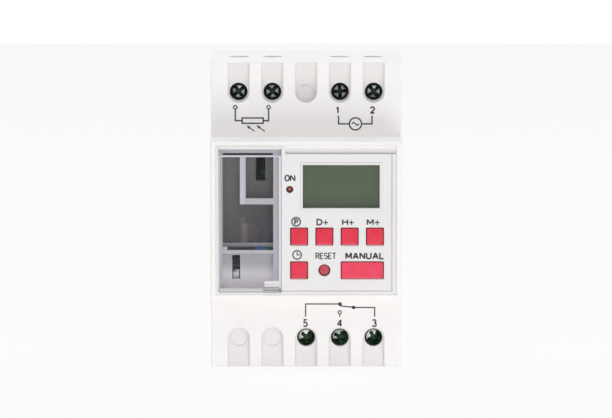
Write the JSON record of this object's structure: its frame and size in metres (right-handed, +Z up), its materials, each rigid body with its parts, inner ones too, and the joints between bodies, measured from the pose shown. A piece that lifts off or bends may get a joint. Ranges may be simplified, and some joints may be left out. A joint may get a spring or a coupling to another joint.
{
  "type": "digital timer switch",
  "caption": "Rail-mounted digital timer switch with display, push buttons, a hinged clear door and screw terminals on both shoulders.",
  "frame": {"origin": "middle of the rail seat, in the plane that the front of the rail touches", "axes": "+X to the right as seen from the front, +Y from the front towards the rail, +Z up as it hangs on its rail"},
  "size_m": [0.054, 0.0666, 0.0864],
  "materials": {
    "housing": "fine matt moulded",
    "panel": "fine matt moulded",
    "clear_plastic": "clear moulded",
    "lcd": "polarised film on glass",
    "led": "tinted lens",
    "button": "soft matt",
    "dark_plastic": "matt",
    "white_part": "matt",
    "screw_steel": "dark plated",
    "steel": "zinc plated",
    "brass": "tinned in part",
    "board": "solder mask",
    "blue_part": "matt",
    "brown_part": "coated",
    "tan_part": "coated",
    "can": "sleeved",
    "rubber": "matt",
    "ribbon": "satin",
    "latch": "matt"
  },
  "bodies": {
    "housing": {"rear_base": "housing", "front_cover": "housing", "front_panel": "panel", "inner_window": "clear_plastic", "lcd_glass": "lcd", "lcd_frame": "white_part", "lcd_reflector": "white_part", "zebra_strips": "rubber", "status_led": "led", "tact_switches": "dark_plastic", "control_board": "board", "control_board_screws": "steel", "microcontroller": "dark_plastic", "quartz_crystal": "steel", "backup_battery": "steel", "ribbon_cable": "ribbon", "ribbon_headers": "white_part", "power_board": "board", "power_board_screws": "steel", "relay": "dark_plastic", "dropper_capacitor": "blue_part", "smoothing_capacitors": "can", "varistor": "brown_part", "fuse_resistor": "tan_part", "bridge_rectifier": "dark_plastic", "contact_bars": "brass", "trimmer_body": "dark_plastic", "latch_spring": "steel"},
    "door": {"clear_door": "clear_plastic"},
    "latch": {"din_latch": "latch"},
    "trimmer": {"trimmer_wheel": "dark_plastic"},
    "button_program": {"program_button": "button", "program_plunger": "white_part"},
    "button_day": {"day_button": "button", "day_plunger": "white_part"},
    "button_hour": {"hour_button": "button", "hour_plunger": "white_part"},
    "button_minute": {"minute_button": "button", "minute_plunger": "white_part"},
    "button_clock": {"clock_button": "button", "clock_plunger": "white_part"},
    "button_reset": {"reset_button": "button", "reset_plunger": "white_part"},
    "button_manual": {"manual_button": "button", "manual_plunger": "white_part"},
    "screw_sensor_left": {"terminal_screw_sensor_left": "screw_steel"},
    "cage_sensor_left": {"terminal_cage_sensor_left": "steel"},
    "screw_sensor_right": {"terminal_screw_sensor_right": "screw_steel"},
    "cage_sensor_right": {"terminal_cage_sensor_right": "steel"},
    "screw_1": {"terminal_screw_1": "screw_steel"},
    "cage_1": {"terminal_cage_1": "steel"},
    "screw_2": {"terminal_screw_2": "screw_steel"},
    "cage_2": {"terminal_cage_2": "steel"},
    "screw_3": {"terminal_screw_3": "screw_steel"},
    "cage_3": {"terminal_cage_3": "steel"},
    "screw_4": {"terminal_screw_4": "screw_steel"},
    "cage_4": {"terminal_cage_4": "steel"},
    "screw_5": {"terminal_screw_5": "screw_steel"},
    "cage_5": {"terminal_cage_5": "steel"}
  },
  "joints": [
    {"name": "door_hinge", "type": "hinge", "parent": "housing", "child": "door", "pos_m": [-0.01575, -0.05935, 0.0192], "axis": [-1, 0, 0], "range_deg": [0, 105]},
    {"name": "latch_slide", "type": "slide", "parent": "housing", "child": "latch", "axis": [0, 0, -1], "range_m": [0, 0.0032], "stiffness_N_per_m": 600, "springref_m": -0.003, "deforming": ["latch_spring"]},
    {"name": "trimmer_turn", "type": "hinge", "parent": "housing", "child": "trimmer", "pos_m": [-0.0197, -0.0522, -0.0135], "axis": [1, 0, 0], "range_deg": [-135, 135]},
    {"name": "program_press", "type": "slide", "parent": "housing", "child": "button_program", "axis": [0, 1, 0], "range_m": [0, 0.00035], "stiffness_N_per_m": 2500, "springref_m": -0.0001},
    {"name": "day_press", "type": "slide", "parent": "housing", "child": "button_day", "axis": [0, 1, 0], "range_m": [0, 0.00035], "stiffness_N_per_m": 2500, "springref_m": -0.0001},
    {"name": "hour_press", "type": "slide", "parent": "housing", "child": "button_hour", "axis": [0, 1, 0], "range_m": [0, 0.00035], "stiffness_N_per_m": 2500, "springref_m": -0.0001},
    {"name": "minute_press", "type": "slide", "parent": "housing", "child": "button_minute", "axis": [0, 1, 0], "range_m": [0, 0.00035], "stiffness_N_per_m": 2500, "springref_m": -0.0001},
    {"name": "clock_press", "type": "slide", "parent": "housing", "child": "button_clock", "axis": [0, 1, 0], "range_m": [0, 0.00035], "stiffness_N_per_m": 2500, "springref_m": -0.0001},
    {"name": "reset_press", "type": "slide", "parent": "housing", "child": "button_reset", "axis": [0, 1, 0], "range_m": [0, 0.00035], "stiffness_N_per_m": 2500, "springref_m": -0.0001},
    {"name": "manual_press", "type": "slide", "parent": "housing", "child": "button_manual", "axis": [0, 1, 0], "range_m": [0, 0.00035], "stiffness_N_per_m": 2500, "springref_m": -0.0001},
    {"name": "screw_turn_sensor_left", "type": "hinge", "parent": "housing", "child": "screw_sensor_left", "pos_m": [-0.0191, -0.04, 0.035], "axis": [0, 1, 0], "range_deg": [0, 2161]},
    {"name": "cage_lift_sensor_left", "type": "slide", "parent": "housing", "child": "cage_sensor_left", "axis": [0, -1, 0], "range_m": [0, 0.0036]},
    {"name": "screw_turn_sensor_right", "type": "hinge", "parent": "housing", "child": "screw_sensor_right", "pos_m": [-0.00955, -0.04, 0.035], "axis": [0, 1, 0], "range_deg": [0, 2161]},
    {"name": "cage_lift_sensor_right", "type": "slide", "parent": "housing", "child": "cage_sensor_right", "axis": [0, -1, 0], "range_m": [0, 0.0036]},
    {"name": "screw_turn_1", "type": "hinge", "parent": "housing", "child": "screw_1", "pos_m": [0.00955, -0.04, 0.035], "axis": [0, 1, 0], "range_deg": [0, 2161]},
    {"name": "cage_lift_1", "type": "slide", "parent": "housing", "child": "cage_1", "axis": [0, -1, 0], "range_m": [0, 0.0036]},
    {"name": "screw_turn_2", "type": "hinge", "parent": "housing", "child": "screw_2", "pos_m": [0.0191, -0.04, 0.035], "axis": [0, 1, 0], "range_deg": [0, 2161]},
    {"name": "cage_lift_2", "type": "slide", "parent": "housing", "child": "cage_2", "axis": [0, -1, 0], "range_m": [0, 0.0036]},
    {"name": "screw_turn_3", "type": "hinge", "parent": "housing", "child": "screw_3", "pos_m": [0.0191, -0.04, -0.035], "axis": [0, 1, 0], "range_deg": [0, 2161]},
    {"name": "cage_lift_3", "type": "slide", "parent": "housing", "child": "cage_3", "axis": [0, -1, 0], "range_m": [0, 0.0036]},
    {"name": "screw_turn_4", "type": "hinge", "parent": "housing", "child": "screw_4", "pos_m": [0.00955, -0.04, -0.035], "axis": [0, 1, 0], "range_deg": [0, 2161]},
    {"name": "cage_lift_4", "type": "slide", "parent": "housing", "child": "cage_4", "axis": [0, -1, 0], "range_m": [0, 0.0036]},
    {"name": "screw_turn_5", "type": "hinge", "parent": "housing", "child": "screw_5", "pos_m": [0, -0.04, -0.035], "axis": [0, 1, 0], "range_deg": [0, 2161]},
    {"name": "cage_lift_5", "type": "slide", "parent": "housing", "child": "cage_5", "axis": [0, -1, 0], "range_m": [0, 0.0036]}
  ],
  "couplings": [
    {"joint": "screw_turn_sensor_left", "follows": "cage_lift_sensor_left", "rad_per_m": 10472},
    {"joint": "screw_turn_sensor_right", "follows": "cage_lift_sensor_right", "rad_per_m": 10472},
    {"joint": "screw_turn_1", "follows": "cage_lift_1", "rad_per_m": 10472},
    {"joint": "screw_turn_2", "follows": "cage_lift_2", "rad_per_m": 10472},
    {"joint": "screw_turn_3", "follows": "cage_lift_3", "rad_per_m": 10472},
    {"joint": "screw_turn_4", "follows": "cage_lift_4", "rad_per_m": 10472},
    {"joint": "screw_turn_5", "follows": "cage_lift_5", "rad_per_m": 10472}
  ]
}
